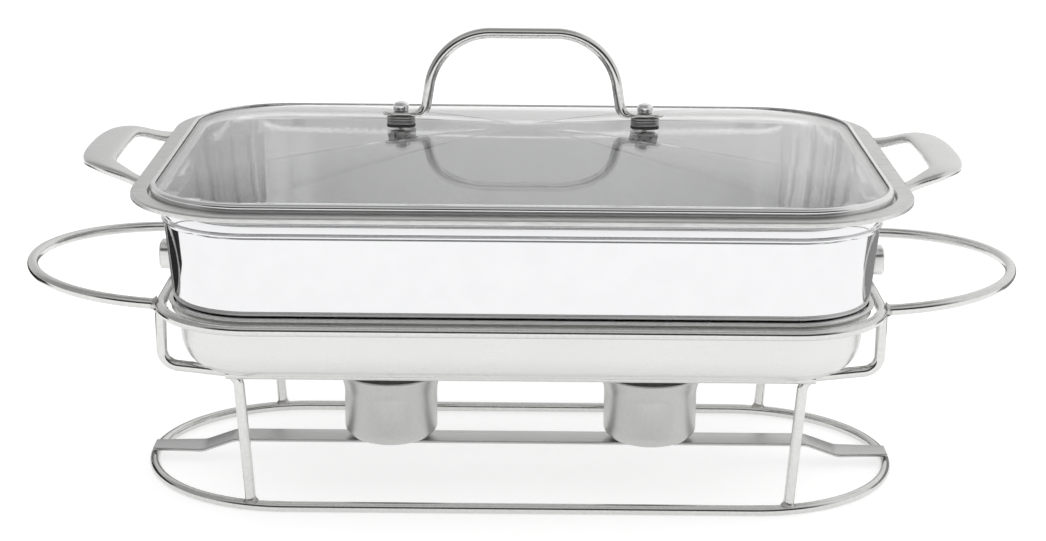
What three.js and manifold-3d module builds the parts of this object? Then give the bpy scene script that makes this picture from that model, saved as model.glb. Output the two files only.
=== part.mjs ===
// Buffet warmer: a wire stand with two burner cups, a water pan, a food pan and a glass lid.
// Millimetres. +X runs to the right along the long side, -Y is the front, +Z is up.
// The origin is the centre of the footprint, on the table.

import * as THREE from 'three';
import { mergeVertices } from 'three/addons/utils/BufferGeometryUtils.js';
import Module from 'manifold-3d';

const wasm = await Module();
wasm.setup();

// ---------------------------------------------------------------- driving dimensions

const GAP = 0.3; // left between two pieces that touch

// stand
const WIRE = 6.5; // diameter of every rod in the stand
const WIRE_SIDES = 8;
const BASE_HALF_X = 232; // centre line of the base ring
const BASE_HALF_Y = 92;
const BASE_END_STEPS = 16;
const LEG_FOOT_X = 161; // where a leg stands on the base ring
const LEG_BEND = 10; // centre line radius of a bend in a leg
const LEG_TOP_INSET = 12; // from the end of the water pan's flat bottom to the upper bend
const SHELF_RISE = 5; // the turned-out part of a leg climbs this much
const RAIL_OVERHANG = 6; // how far a rail runs past the legs
const RING_CLEARANCE = 1.5; // between the rim of the water pan and the wire around it
const RING_DROP = 5.2; // from the top of that rim to the middle of the wire
const LOOP_REACH = 95; // from the middle of the ring wire to the outside of a side loop
const LOOP_HALF_Y = 88.5;
const LOOP_RISE = 4.5; // the outer end of a loop is this much higher than the ring
const GUIDE_THICK = 10; // tab on each side wire of the upper ring
const GUIDE_WIDTH = 17;
const GUIDE_DROP = 2.6; // below the middle of the ring wire
const GUIDE_TALL = 17.5;

// burner strip and cups
const STRIP_WIDTH = 20;
const STRIP_THICK = 2;
const STRIP_RAISE = 7.2; // the middle lies this much higher than the ends
const STRIP_END_FLAT = 32;
const STRIP_SLOPE = 20;
const CUP_X = 82;
const CUP_RADIUS = 29.2;
const CUP_WALL = 1.2;
const CUP_BODY = 32; // from the foot to the start of the neck
const CUP_NECK = 14; // the neck would be this tall if it flared until it was level
const CUP_FLARE = 8;
const CUP_FOOT_RADIUS = 7;

// food pan
const FLANGE_HALF_X = 226;
const FLANGE_HALF_Y = 155;
const FLANGE_CORNER = 72;
const FOOD_DEPTH = 69.3; // from the floor outside to the top of the flange
const PAN_WALL = 1.5;
const FLANGE_LIP = 3.5; // height of the flange edge
const FLANGE_FLAT = 9.5; // width of the flat top of the flange
const LEDGE_DROP = 2.5; // the lid lies this much lower than the flange
const LEDGE_WIDTH = 6;
const LIP_UNDERSIDE = 3.5; // flat under the flange edge, outside the cove
const COVE_RUN = 15; // the cove that joins the wall to the flange
const COVE_RISE = 13.2;
const FOOD_DRAFT = 4.5;
const FOOD_BOTTOM_RADIUS = 10;

// water pan, whose stepped rim holds the foot of the food pan
const WATER_FLOOR_Z = 91.8;
const WATER_LEDGE_Z = 128.2; // the food pan stands on this step
const WATER_LEDGE = 4.5; // width of the step
const WATER_RIM_TALL = 5.3; // from the step to the top of the rim
const WATER_LIP = 1.4; // how far the rim turns out
const WATER_DRAFT = 1.5;
const WATER_BOTTOM_RADIUS = 20;

// pan handles
const HANDLE_REACH = 40; // from the flange edge to the outer end
const HANDLE_ARM_Y = 62; // middle of an arm at the flange
const HANDLE_ARM = 12; // width of an arm along the flange
const HANDLE_OPENING_Y = 40; // half width of the opening beside the plate
const HANDLE_PLATE = 22.5;
const HANDLE_ROUND = 18; // how far the outer corners of the plate are rounded back
const HANDLE_THICK = 6;
const HANDLE_LIFT = 8; // rise from the flange to the grip

// lid
const LID_CLEARANCE = 1;
const RIM_HEIGHT = 6.5;
const RIM_SHEET = 1;
const RIM_LIP = 3;
const GLASS_THICK = 3.9;
const DOME_RISE = 17.4;

// lid handle and its fittings
const GRIP_ROD = 6.4;
const GRIP_HALF_X = 60; // centre line of an upright at its foot
const GRIP_LEAN = 8;
const GRIP_HEIGHT = 49.5; // from the middle of the foot to the middle of the top
const GRIP_BEND = 38;
const SCREW_X = 74.5;
const SCREW_SHAFT = 4;
const SCREW_HOLE = 4.8;
const SCREW_HEAD_RADIUS = 4.8;
const SCREW_HEAD_TALL = 5.6;
const FOOT_LENGTH = 22;
const FOOT_WIDTH = 12.5;
const FOOT_THICK = 2.4;
const SPACER_LENGTH = 17.4;
const SPACER_THICK = 5;
const GASKET_THICK = 1.6;
const WASHER_RADIUS = 6.5;
const WASHER_THICK = 1.2;
const NUT_RADIUS = 4.6;
const NUT_THICK = 3.5;

// ---------------------------------------------------------------- sizes that follow

const wireRadius = WIRE / 2;
const baseStraight = BASE_HALF_X - BASE_HALF_Y; // half the length of a straight side
const foodFloorZ = WATER_LEDGE_Z + GAP;
const flangeZ = foodFloorZ + FOOD_DEPTH;
const ledgeZ = flangeZ - LEDGE_DROP;
const coveInset = LIP_UNDERSIDE + COVE_RUN;
const coveZ = flangeZ - FLANGE_LIP - COVE_RISE;
const foodWallInset = coveInset + FOOD_DRAFT;

const waterRimZ = WATER_LEDGE_Z + WATER_RIM_TALL;
const rimOutset = GAP + PAN_WALL + WATER_LIP; // past the foot of the food pan's wall
const rimHalfX = FLANGE_HALF_X - foodWallInset + rimOutset;
const rimHalfY = FLANGE_HALF_Y - foodWallInset + rimOutset;
const rimCorner = FLANGE_CORNER - foodWallInset + rimOutset;
const waterWallInset = WATER_LIP + WATER_LEDGE;
const waterFlatX = rimHalfX - waterWallInset - WATER_DRAFT - WATER_BOTTOM_RADIUS;

const ringOutset = RING_CLEARANCE + wireRadius;
const ringHalfX = rimHalfX + ringOutset;
const ringHalfY = rimHalfY + ringOutset;
const ringZ = waterRimZ - RING_DROP;
const shelfZ = WATER_FLOOR_Z - GAP - wireRadius;
const legTopX = waterFlatX - LEG_TOP_INSET;
const legLean = Math.atan2(Math.abs(legTopX - LEG_FOOT_X), shelfZ - WIRE);
const wireCorner = wireRadius / Math.cos(Math.PI / WIRE_SIDES);
const legFootZ = WIRE + GAP + wireCorner * Math.sin(legLean); // the leaning end clears the base ring
const legInside = LEG_FOOT_X - baseStraight;
const legY = Math.sqrt(BASE_HALF_Y ** 2 - Math.max(legInside, 0) ** 2); // on the base ring
const railY = legY + WIRE + GAP;

const rimInset = FLANGE_FLAT + 1 + LID_CLEARANCE;
const rimBottomZ = ledgeZ + GAP;
const rimTopZ = rimBottomZ + RIM_HEIGHT;
const glassInset = rimInset + RIM_SHEET + GAP;
const glassTopZ = rimTopZ - RIM_SHEET - GAP;
const domeInset = rimInset + RIM_LIP + GAP;
const domeHalfX = FLANGE_HALF_X - domeInset;

const stripEndZ = WIRE + GAP;
const stripTopZ = stripEndZ + STRIP_RAISE + STRIP_THICK;

// ---------------------------------------------------------------- geometry helpers

/** Geometry from corner positions and triangles, with shared corners kept. */
function solidFrom(points, triangles) {
  const geometry = new THREE.BufferGeometry();
  geometry.setAttribute('position', new THREE.Float32BufferAttribute(points.flat(), 3));
  geometry.setIndex(triangles.flat());
  geometry.computeVertexNormals();
  return geometry;
}

/** Points of a rounded rectangle, counter-clockwise from the +X side. */
function roundedRectangle(halfX, halfY, corner, steps = 8) {
  const radius = Math.max(Math.min(corner, halfX, halfY), 0.5);
  const points = [];
  const centres = [[1, 1], [-1, 1], [-1, -1], [1, -1]];
  centres.forEach(([signX, signY], quarter) => {
    for (let step = 0; step <= steps; step += 1) {
      const angle = (quarter + step / steps) * Math.PI / 2;
      const x = signX * (halfX - radius) + radius * Math.cos(angle);
      const y = signY * (halfY - radius) + radius * Math.sin(angle);
      points.push([x, y]);
    }
  });
  return points;
}

/** The middle of a ring of points. */
function middleOf(ring) {
  return [0, 1, 2].map((axis) => ring.reduce((sum, point) => sum + point[axis], 0) / ring.length);
}

/** Joins rings of equal length one after another; the two ends are capped or joined. */
function loft(rings, joined = false) {
  const count = rings[0].length;
  const points = rings.flat();
  const triangles = [];
  const spans = joined ? rings.length : rings.length - 1;
  for (let ring = 0; ring < spans; ring += 1) {
    const low = ring * count;
    const high = ((ring + 1) % rings.length) * count;
    for (let i = 0; i < count; i += 1) {
      const next = (i + 1) % count;
      triangles.push([low + i, low + next, high + next]);
      triangles.push([low + i, high + next, high + i]);
    }
  }
  if (!joined) {
    const last = (rings.length - 1) * count;
    const start = points.length;
    points.push(middleOf(rings[0]), middleOf(rings[rings.length - 1]));
    for (let i = 0; i < count; i += 1) {
      const next = (i + 1) % count;
      triangles.push([start, next, i]);
      triangles.push([start + 1, last + i, last + next]);
    }
  }
  return solidFrom(points, triangles);
}

/** A ring of the outline, moved inwards by inset, at height z. */
function insetRing(halfX, halfY, corner, inset, z) {
  return roundedRectangle(halfX - inset, halfY - inset, corner - inset).map(([x, y]) => [x, y, z]);
}

/** Turns a profile of [inset, z] pairs into rings around one outline. */
function ringsAround(halfX, halfY, corner, profile) {
  return profile.map(([inset, z]) => insetRing(halfX, halfY, corner, inset, z));
}

/** Section of a wire, a polygon with flat sides above and below. */
function wireSection(radius) {
  const outer = radius / Math.cos(Math.PI / WIRE_SIDES);
  const points = [];
  for (let side = 0; side < WIRE_SIDES; side += 1) {
    const angle = (side + 0.5) / WIRE_SIDES * Math.PI * 2;
    points.push([outer * Math.cos(angle), outer * Math.sin(angle)]);
  }
  return points;
}

/** A closed wire ring on a rounded rectangle, its middle at height z. */
function wireRing(halfX, halfY, corner, z) {
  const profile = wireSection(wireRadius).map(([out, up]) => [-out, z + up]);
  return loft(ringsAround(halfX, halfY, corner, profile), true);
}

/** Points of an arc in [inset, z] terms, from one angle to another in degrees. */
function arc(centre, radii, from, to, steps) {
  const points = [];
  for (let step = 0; step <= steps; step += 1) {
    const angle = (from + (to - from) * step / steps) * Math.PI / 180;
    points.push([centre[0] + radii[0] * Math.cos(angle), centre[1] + radii[1] * Math.sin(angle)]);
  }
  return points;
}

/** A path through corner points, each corner rounded by a curve of the given radius. */
function bentPath(corners, radii) {
  const path = new THREE.CurvePath();
  const points = corners.map(([x, y, z]) => new THREE.Vector3(x, y, z));
  let from = points[0];
  for (let i = 1; i < points.length - 1; i += 1) {
    const back = points[i - 1].clone().sub(points[i]).normalize();
    const ahead = points[i + 1].clone().sub(points[i]).normalize();
    const half = back.angleTo(ahead) / 2;
    const reach = radii[i - 1] / Math.tan(half);
    const into = points[i].clone().addScaledVector(back, reach);
    const out = points[i].clone().addScaledVector(ahead, reach);
    const pull = 4 / 3 * Math.tan((Math.PI - 2 * half) / 4) * radii[i - 1];
    path.add(new THREE.LineCurve3(from, into));
    path.add(new THREE.CubicBezierCurve3(
      into,
      into.clone().addScaledVector(back, -pull),
      out.clone().addScaledVector(ahead, -pull),
      out,
    ));
    from = out;
  }
  path.add(new THREE.LineCurve3(from, points[points.length - 1]));
  return path;
}

/** A rod of the given radius along a curve. */
function rod(path, radius, steps) {
  const section = new THREE.Shape(wireSection(radius).map(([x, y]) => new THREE.Vector2(x, y)));
  return new THREE.ExtrudeGeometry(section, { extrudePath: path, steps, bevelEnabled: false });
}

/** An outline in the XY plane, extruded upwards from height z. */
function slab(outline, z, thickness) {
  const shape = new THREE.Shape(outline.map(([x, y]) => new THREE.Vector2(x, y)));
  const geometry = new THREE.ExtrudeGeometry(shape, { depth: thickness, bevelEnabled: false });
  return geometry.translate(0, 0, z);
}

/** A turned solid about the Z axis from [radius, z] pairs. */
function turned(profile, segments) {
  const points = profile.map(([radius, z]) => new THREE.Vector2(radius, z));
  return new THREE.LatheGeometry(points, segments).rotateX(Math.PI / 2);
}

/** A plain round bar along Z, between two heights. */
function bar(radius, low, high, segments = 16) {
  return turned([[0, low], [radius, low], [radius, high], [0, high]], segments);
}

/** The manifold form of a geometry, for joining and cutting. */
function toManifold(geometry) {
  const bare = geometry.clone();
  bare.deleteAttribute('normal');
  bare.deleteAttribute('uv');
  const merged = mergeVertices(bare, 1e-4);
  const vertProperties = new Float32Array(merged.attributes.position.array);
  const triVerts = new Uint32Array(merged.index.array);
  return new wasm.Manifold(new wasm.Mesh({ numProp: 3, vertProperties, triVerts }));
}

/** A three.js geometry from a manifold. */
function fromManifold(manifold) {
  const mesh = manifold.getMesh();
  const geometry = new THREE.BufferGeometry();
  geometry.setAttribute('position', new THREE.Float32BufferAttribute(mesh.vertProperties, 3));
  geometry.setIndex(new THREE.Uint32BufferAttribute(mesh.triVerts, 1));
  geometry.computeVertexNormals();
  return geometry;
}

function join(...geometries) {
  return fromManifold(geometries.map(toManifold).reduce((sum, next) => sum.add(next)));
}

function cut(geometry, ...tools) {
  return fromManifold(tools.map(toManifold).reduce((rest, tool) => rest.subtract(tool), toManifold(geometry)));
}

/** The same piece on the other side of the X = 0 plane, its faces turned back outwards. */
function mirroredX(geometry) {
  const copy = geometry.index ? geometry.toNonIndexed() : geometry.clone();
  copy.scale(-1, 1, 1);
  const position = copy.attributes.position;
  const held = new THREE.Vector3();
  const other = new THREE.Vector3();
  for (let i = 0; i < position.count; i += 3) {
    held.fromBufferAttribute(position, i + 1);
    other.fromBufferAttribute(position, i + 2);
    position.setXYZ(i + 1, other.x, other.y, other.z);
    position.setXYZ(i + 2, held.x, held.y, held.z);
  }
  copy.deleteAttribute('normal');
  copy.deleteAttribute('uv');
  const merged = mergeVertices(copy, 1e-4);
  merged.computeVertexNormals();
  return merged;
}

// ---------------------------------------------------------------- materials

const finishes = {
  wire: { color: 0xc9c9c6, roughness: 0.22, metalness: 1 },
  satin: { color: 0xb4b4b0, roughness: 0.42, metalness: 1 },
  mirror: { color: 0xdcdddd, roughness: 0.08, metalness: 1 },
  strip: { color: 0xa3a4a2, roughness: 0.5, metalness: 1 },
  glass: { color: 0xc3ced0, roughness: 0.03, metalness: 0, transparent: true, opacity: 0.35 },
  rubber: { color: 0x2c2c2c, roughness: 0.8, metalness: 0 },
};

const group = new THREE.Group();

function addPart(name, geometry, finish) {
  const mesh = new THREE.Mesh(geometry, new THREE.MeshStandardMaterial(finishes[finish]));
  mesh.name = name;
  group.add(mesh);
}

// ---------------------------------------------------------------- stand

/** A half round of wire that closes one end of the base ring. */
function baseEndGeometry() {
  const rings = [];
  for (let step = 0; step <= BASE_END_STEPS; step += 1) {
    const angle = (0.5 - step / BASE_END_STEPS) * Math.PI;
    rings.push(wireSection(wireRadius).map(([out, up]) => [
      baseStraight + GAP / 2 + (BASE_HALF_Y + out) * Math.cos(angle),
      (BASE_HALF_Y + out) * Math.sin(angle),
      wireRadius + up,
    ]));
  }
  return loft(rings);
}

/** The base ring, of two straight wires and two half rounds. */
function addBase() {
  const half = baseStraight - GAP / 2;
  for (const [depth, sideY] of [['front', -1], ['rear', 1]]) {
    const from = new THREE.Vector3(-half, sideY * BASE_HALF_Y, wireRadius);
    const to = new THREE.Vector3(half, sideY * BASE_HALF_Y, wireRadius);
    addPart(`base_wire_${depth}`, rod(new THREE.LineCurve3(from, to), wireRadius, 1), 'wire');
  }
  const end = baseEndGeometry();
  addPart('base_end_left', mirroredX(end), 'wire');
  addPart('base_end_right', end, 'wire');
}

function addUpperRing() {
  addPart('upper_ring', wireRing(ringHalfX, ringHalfY, rimCorner + ringOutset, ringZ), 'wire');
}

/** A leg stands on the base ring, turns out under the water pan, then up to the ring. */
function legGeometry(sideX, sideY) {
  const slope = SHELF_RISE / (ringHalfX - legTopX);
  const turnZ = shelfZ - slope * (waterFlatX - legTopX);
  const corners = [
    [sideX * LEG_FOOT_X, sideY * legY, legFootZ],
    [sideX * legTopX, sideY * legY, turnZ],
    [sideX * ringHalfX, sideY * legY, turnZ + SHELF_RISE],
    [sideX * ringHalfX, sideY * legY, ringZ - wireRadius - GAP],
  ];
  return rod(bentPath(corners, [LEG_BEND, LEG_BEND]), wireRadius, 24);
}

/** A straight rail outside the legs, under the flat of the water pan. */
function railGeometry(sideY) {
  const half = legTopX + RAIL_OVERHANG;
  const from = new THREE.Vector3(-half, sideY * railY, shelfZ);
  const to = new THREE.Vector3(half, sideY * railY, shelfZ);
  return rod(new THREE.LineCurve3(from, to), wireRadius, 1);
}

function addLegsAndRails() {
  for (const [depth, sideY] of [['front', -1], ['rear', 1]]) {
    for (const [side, sideX] of [['left', -1], ['right', 1]]) {
      addPart(`leg_${depth}_${side}`, legGeometry(sideX, sideY), 'wire');
    }
    addPart(`rail_${depth}`, railGeometry(sideY), 'wire');
  }
}

/** Half an oval of wire, its ends against the side of the upper ring. */
function loopGeometry(side) {
  const startX = ringHalfX + wireRadius + 2 * GAP; // the rising end leans back a little
  const reach = LOOP_REACH - 2 * wireRadius - 2 * GAP;
  const points = [];
  const count = 18;
  for (let i = 0; i <= count; i += 1) {
    const angle = (i / count - 0.5) * Math.PI;
    const out = Math.cos(angle);
    points.push(new THREE.Vector3(
      side * (startX + reach * out),
      LOOP_HALF_Y * Math.sin(angle),
      ringZ + LOOP_RISE * out,
    ));
  }
  return rod(new THREE.CatmullRomCurve3(points), wireRadius, 32);
}

/** An upright tab on the outside of a side wire. */
function guideGeometry(side) {
  const outline = roundedRectangle(GUIDE_WIDTH / 2, GUIDE_TALL / 2, 5, 4);
  const inner = ringHalfX + wireRadius + GAP;
  return slab(outline, 0, GUIDE_THICK)
    .rotateX(Math.PI / 2)
    .rotateZ(Math.PI / 2)
    .translate(side > 0 ? inner : -inner - GUIDE_THICK, 0, ringZ - GUIDE_DROP + GUIDE_TALL / 2);
}

function addLoopsAndGuides() {
  for (const [side, signX] of [['left', -1], ['right', 1]]) {
    addPart(`side_loop_${side}`, loopGeometry(signX), 'wire');
    addPart(`pan_guide_${side}`, guideGeometry(signX), 'satin');
  }
}

/** A flat strip that lies on both ends of the base ring and is raised in the middle. */
function addStrip() {
  const end = BASE_HALF_X + 1;
  const flat = end - STRIP_END_FLAT;
  const level = flat - STRIP_SLOPE;
  const raised = stripEndZ + STRIP_RAISE;
  const bottom = [[-end, stripEndZ], [-flat, stripEndZ], [-level, raised],
    [level, raised], [flat, stripEndZ], [end, stripEndZ]];
  const top = bottom.map(([x, z]) => [x, z + STRIP_THICK]).reverse();
  const geometry = slab([...bottom, ...top], 0, STRIP_WIDTH);
  addPart('burner_strip', geometry.rotateX(Math.PI / 2).translate(0, STRIP_WIDTH / 2, 0), 'strip');
}

// ---------------------------------------------------------------- burner cups

/** An open cup with a rounded foot and a flared neck. */
function addCups() {
  const low = stripTopZ + GAP;
  const neck = low + CUP_BODY;
  const inside = CUP_RADIUS - CUP_WALL;
  const flareOut = arc([CUP_RADIUS + CUP_FLARE, neck], [CUP_FLARE, CUP_NECK], 180, 120, 3);
  const flareIn = arc([inside + CUP_FLARE, neck], [CUP_FLARE, CUP_NECK], 120, 180, 3);
  const profile = [
    [0, low],
    ...arc([CUP_RADIUS - CUP_FOOT_RADIUS, low + CUP_FOOT_RADIUS], [CUP_FOOT_RADIUS, CUP_FOOT_RADIUS], -90, 0, 3),
    ...flareOut,
    ...flareIn,
    [inside, low + CUP_FOOT_RADIUS],
    [inside - CUP_FOOT_RADIUS, low + CUP_WALL],
    [0, low + CUP_WALL],
  ];
  for (const [side, signX] of [['left', -1], ['right', 1]]) {
    addPart(`burner_cup_${side}`, turned(profile, 24).translate(signX * CUP_X, 0, 0), 'satin');
  }
}

// ---------------------------------------------------------------- pans

/** A shallow pan with a big bottom radius and a stepped rim. */
function addWaterPan() {
  const low = WATER_FLOOR_Z;
  const radius = WATER_BOTTOM_RADIUS;
  const wall = waterWallInset;
  const foot = wall + WATER_DRAFT + radius;
  const inner = radius - PAN_WALL;
  const step = WATER_LIP + PAN_WALL;
  const profile = [
    ...arc([foot, low + radius], [-radius, -radius], 90, 0, 4),
    [wall, WATER_LEDGE_Z - 5],
    [WATER_LIP + 0.6, WATER_LEDGE_Z - 1.6],
    [WATER_LIP, WATER_LEDGE_Z],
    [WATER_LIP, waterRimZ - PAN_WALL],
    [0, waterRimZ - PAN_WALL],
    [0, waterRimZ - 0.4],
    [0.4, waterRimZ],
    [step, waterRimZ],
    [step, WATER_LEDGE_Z + 0.6],
    [step + 0.6, WATER_LEDGE_Z],
    [wall + PAN_WALL - 0.4, WATER_LEDGE_Z],
    [wall + PAN_WALL, WATER_LEDGE_Z - 0.6],
    ...arc([foot, low + radius], [-inner, -inner], 0, 90, 4),
  ];
  addPart('water_pan', loft(ringsAround(rimHalfX, rimHalfY, rimCorner, profile)), 'satin');
}

/** A deep pan whose wall sweeps out in a cove to a flat flange with a ledge for the lid. */
function addFoodPan() {
  const low = foodFloorZ;
  const radius = FOOD_BOTTOM_RADIUS;
  const inner = radius - PAN_WALL;
  const foot = foodWallInset + radius;
  const cove = arc([LIP_UNDERSIDE, coveZ], [COVE_RUN, COVE_RISE], 0, 90, 5);
  const profile = [
    ...arc([foot, low + radius], [-radius, -radius], 90, 0, 3),
    ...cove,
    [0, flangeZ - FLANGE_LIP],
    [0, flangeZ - 0.8],
    [0.8, flangeZ],
    [FLANGE_FLAT, flangeZ],
    [FLANGE_FLAT + 1, ledgeZ],
    [FLANGE_FLAT + 1 + LEDGE_WIDTH, ledgeZ],
    [coveInset + PAN_WALL, ledgeZ - 2],
    [coveInset + PAN_WALL, coveZ],
    ...arc([foot, low + radius], [-inner, -inner], 0, 90, 3),
  ];
  const rings = ringsAround(FLANGE_HALF_X, FLANGE_HALF_Y, FLANGE_CORNER, profile);
  addPart('food_pan', loft(rings), 'mirror');
}

/** Outer and inner edge of a handle seen from above: two arms that run out to a broad end. */
function handleEdges() {
  const start = FLANGE_HALF_X + GAP;
  const end = FLANGE_HALF_X + HANDLE_REACH;
  const grip = end - HANDLE_PLATE;
  const middle = (start + grip) / 2;
  const outerArm = HANDLE_ARM_Y + HANDLE_ARM / 2;
  const innerArm = HANDLE_ARM_Y - HANDLE_ARM / 2;
  const shoulder = HANDLE_OPENING_Y + HANDLE_ROUND;
  const outside = [
    [start, -outerArm], [middle, -outerArm + 6], [grip + 4, -shoulder], [end - 7, -shoulder + 11],
    [end - 2.5, -shoulder + 24], [end - 0.5, -HANDLE_ROUND], [end, 0],
  ];
  const inside = [
    [start, -innerArm], [middle, -innerArm + 7], [grip - 1.5, -HANDLE_OPENING_Y - 2],
    [grip, -HANDLE_OPENING_Y + 8], [grip + 0.3, -HANDLE_ROUND], [grip + 0.5, 0],
  ];
  return [outside, inside].map((corners) => {
    const curve = new THREE.CatmullRomCurve3(corners.map(([x, y]) => new THREE.Vector3(x, y, 0)));
    const half = curve.getSpacedPoints(14).map((point) => [point.x, point.y]);
    return [...half, ...half.slice(0, -1).reverse().map(([x, y]) => [x, -y])];
  });
}

/** A cast handle: its arms leave the flange edge and climb to a nearly level grip. */
function handleGeometry() {
  const half = HANDLE_THICK / 2;
  const soft = 1.4; // the edges are rounded off by this much
  const armZ = flangeZ - half;
  const [outside, inside] = handleEdges();
  const rings = outside.map(([outX, outY], i) => {
    const [inX, inY] = inside[i];
    const width = Math.hypot(outX - inX, outY - inY);
    const section = [[0, half - soft], [soft, half], [width - soft, half], [width, half - soft],
      [width, soft - half], [width - soft, -half], [soft, -half], [0, soft - half]];
    return section.map(([along, up]) => {
      const x = outX + (inX - outX) * along / width;
      const y = outY + (inY - outY) * along / width;
      const run = THREE.MathUtils.smoothstep(x, FLANGE_HALF_X - 6, FLANGE_HALF_X + 28);
      return [x, y, armZ + HANDLE_LIFT * run + up];
    });
  });
  return loft(rings.reverse());
}

function addPanHandles() {
  const right = handleGeometry();
  addPart('pan_handle_left', mirroredX(right), 'satin');
  addPart('pan_handle_right', right, 'satin');
}

// ---------------------------------------------------------------- lid

/** Height of the top of the glass above the lid's centre line in X. */
function domeZ(x) {
  const share = Math.abs(x) / domeHalfX;
  return glassTopZ + DOME_RISE * (1 - share * share);
}

/** Steel channel around the edge of the glass. */
function addLidRim() {
  const lip = rimInset + RIM_LIP;
  const inner = rimInset + RIM_SHEET;
  const profile = [
    [lip, rimBottomZ], [lip, rimBottomZ + RIM_SHEET], [inner, rimBottomZ + RIM_SHEET],
    [inner, rimTopZ - RIM_SHEET], [lip, rimTopZ - RIM_SHEET], [lip, rimTopZ],
    [rimInset + 0.8, rimTopZ], [rimInset, rimTopZ - 0.8], [rimInset, rimBottomZ],
  ].reverse();
  addPart('lid_rim', loft(ringsAround(FLANGE_HALF_X, FLANGE_HALF_Y, FLANGE_CORNER, profile), true), 'mirror');
}

/** One ring of the dome; share runs from 1 at its foot to 0 at its middle. */
function domeRing(share, drop) {
  const halfX = share * domeHalfX;
  const halfY = share * (FLANGE_HALF_Y - domeInset);
  const corner = share * (FLANGE_CORNER - domeInset);
  const z = domeZ(halfX) - drop;
  return roundedRectangle(halfX, halfY, corner).map(([x, y]) => [x, y, z]);
}

/** Domed glass with a flat edge and two holes for the handle screws. */
function addLidGlass() {
  const shares = [0.1, 0.25, 0.4, 0.55, 0.7, 0.85, 1];
  const edge = (z) => insetRing(FLANGE_HALF_X, FLANGE_HALF_Y, FLANGE_CORNER, glassInset, z);
  const rings = [
    ...shares.map((share) => domeRing(share, GLASS_THICK)),
    edge(glassTopZ - GLASS_THICK),
    edge(glassTopZ),
    ...shares.map((share) => domeRing(share, 0)).reverse(),
  ];
  const low = glassTopZ - GLASS_THICK;
  const hole = bar(SCREW_HOLE / 2, low, domeZ(0) + 5, 12);
  const holes = [-1, 1].map((side) => hole.clone().translate(side * SCREW_X, 0, 0));
  addPart('lid_glass', cut(loft(rings), ...holes), 'glass');
}

const slopeRise = domeZ(SCREW_X - SPACER_LENGTH / 2) - domeZ(SCREW_X);
const gasketZ = domeZ(SCREW_X) + slopeRise + GAP;
const spacerZ = gasketZ + GASKET_THICK + GAP;
const footZ = spacerZ + SPACER_THICK + GAP;
const headZ = footZ + FOOT_THICK + GAP;
const washerTopZ = domeZ(SCREW_X) - slopeRise - GLASS_THICK - GAP;
const nutTopZ = washerTopZ - WASHER_THICK - GAP;

/** Round rod bent into an arch, with a flat foot at each end. */
function addLidHandle() {
  const middle = footZ + FOOT_THICK / 2;
  const top = middle + GRIP_HEIGHT;
  const lean = GRIP_HALF_X - GRIP_LEAN;
  const tip = SCREW_X - SPACER_LENGTH / 2 - GAP;
  const corners = [[-tip, 0, middle], [-GRIP_HALF_X, 0, middle], [-lean, 0, top],
    [lean, 0, top], [GRIP_HALF_X, 0, middle], [tip, 0, middle]];
  const arch = rod(bentPath(corners, [3.6, GRIP_BEND, GRIP_BEND, 3.6]), GRIP_ROD / 2, 48);
  const hole = bar(SCREW_HOLE / 2, footZ - 5, footZ + FOOT_THICK + 5, 12);
  const outline = roundedRectangle(FOOT_LENGTH / 2, FOOT_WIDTH / 2, 5, 3);
  const sides = [-1, 1];
  const feet = sides.map((side) => slab(outline, footZ, FOOT_THICK).translate(side * SCREW_X, 0, 0));
  const holes = sides.map((side) => hole.clone().translate(side * SCREW_X, 0, 0));
  addPart('lid_handle', cut(join(arch, ...feet), ...holes), 'wire');
}

/** Everything on one screw: head and shaft, spacer, gasket, washer and nut. */
function addLidFittings() {
  const length = SPACER_LENGTH / 2;
  const block = roundedRectangle(length, FOOT_WIDTH / 2 - 0.4, 4, 3);
  const clear = (low, high) => bar(SCREW_HOLE / 2, low - 1, high + 1, 12);
  const spacer = cut(slab(block, spacerZ, SPACER_THICK), clear(spacerZ, footZ));
  const gasket = cut(slab(block, gasketZ, GASKET_THICK), clear(gasketZ, spacerZ));
  const washerLow = washerTopZ - WASHER_THICK;
  const washer = cut(bar(WASHER_RADIUS, washerLow, washerTopZ, 20), clear(washerLow, washerTopZ));
  const nutLow = nutTopZ - NUT_THICK;
  const nut = cut(bar(NUT_RADIUS, nutLow, nutTopZ, 6), clear(nutLow, nutTopZ));
  const dome = arc([0, headZ + SCREW_HEAD_TALL - 2.6], [SCREW_HEAD_RADIUS, 2.6], 0, 90, 3);
  dome[dome.length - 1][0] = 0;
  const screw = turned([
    [0, nutLow - 1], [SCREW_SHAFT / 2, nutLow - 1], [SCREW_SHAFT / 2, headZ],
    [SCREW_HEAD_RADIUS, headZ], ...dome,
  ], 16);
  for (const [side, signX] of [['left', -1], ['right', 1]]) {
    const place = (geometry) => geometry.clone().translate(signX * SCREW_X, 0, 0);
    addPart(`lid_screw_${side}`, place(screw), 'mirror');
    addPart(`lid_spacer_${side}`, place(spacer), 'satin');
    addPart(`lid_gasket_${side}`, place(gasket), 'rubber');
    addPart(`lid_washer_${side}`, place(washer), 'satin');
    addPart(`lid_nut_${side}`, place(nut), 'satin');
  }
}

addBase();
addUpperRing();
addLegsAndRails();
addLoopsAndGuides();
addStrip();
addCups();
addWaterPan();
addFoodPan();
addPanHandles();
addLidRim();
addLidGlass();
addLidHandle();
addLidFittings();

export default group;
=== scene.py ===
"""Looks of a buffet food warmer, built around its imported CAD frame.

Places and lengths are in millimetres while a shape is worked out, and in metres in Blender.
+X runs to the right along the long side, -Y is the front, +Z is up.
"""
import math

import bmesh
import bpy
from mathutils import Matrix, Vector


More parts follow.
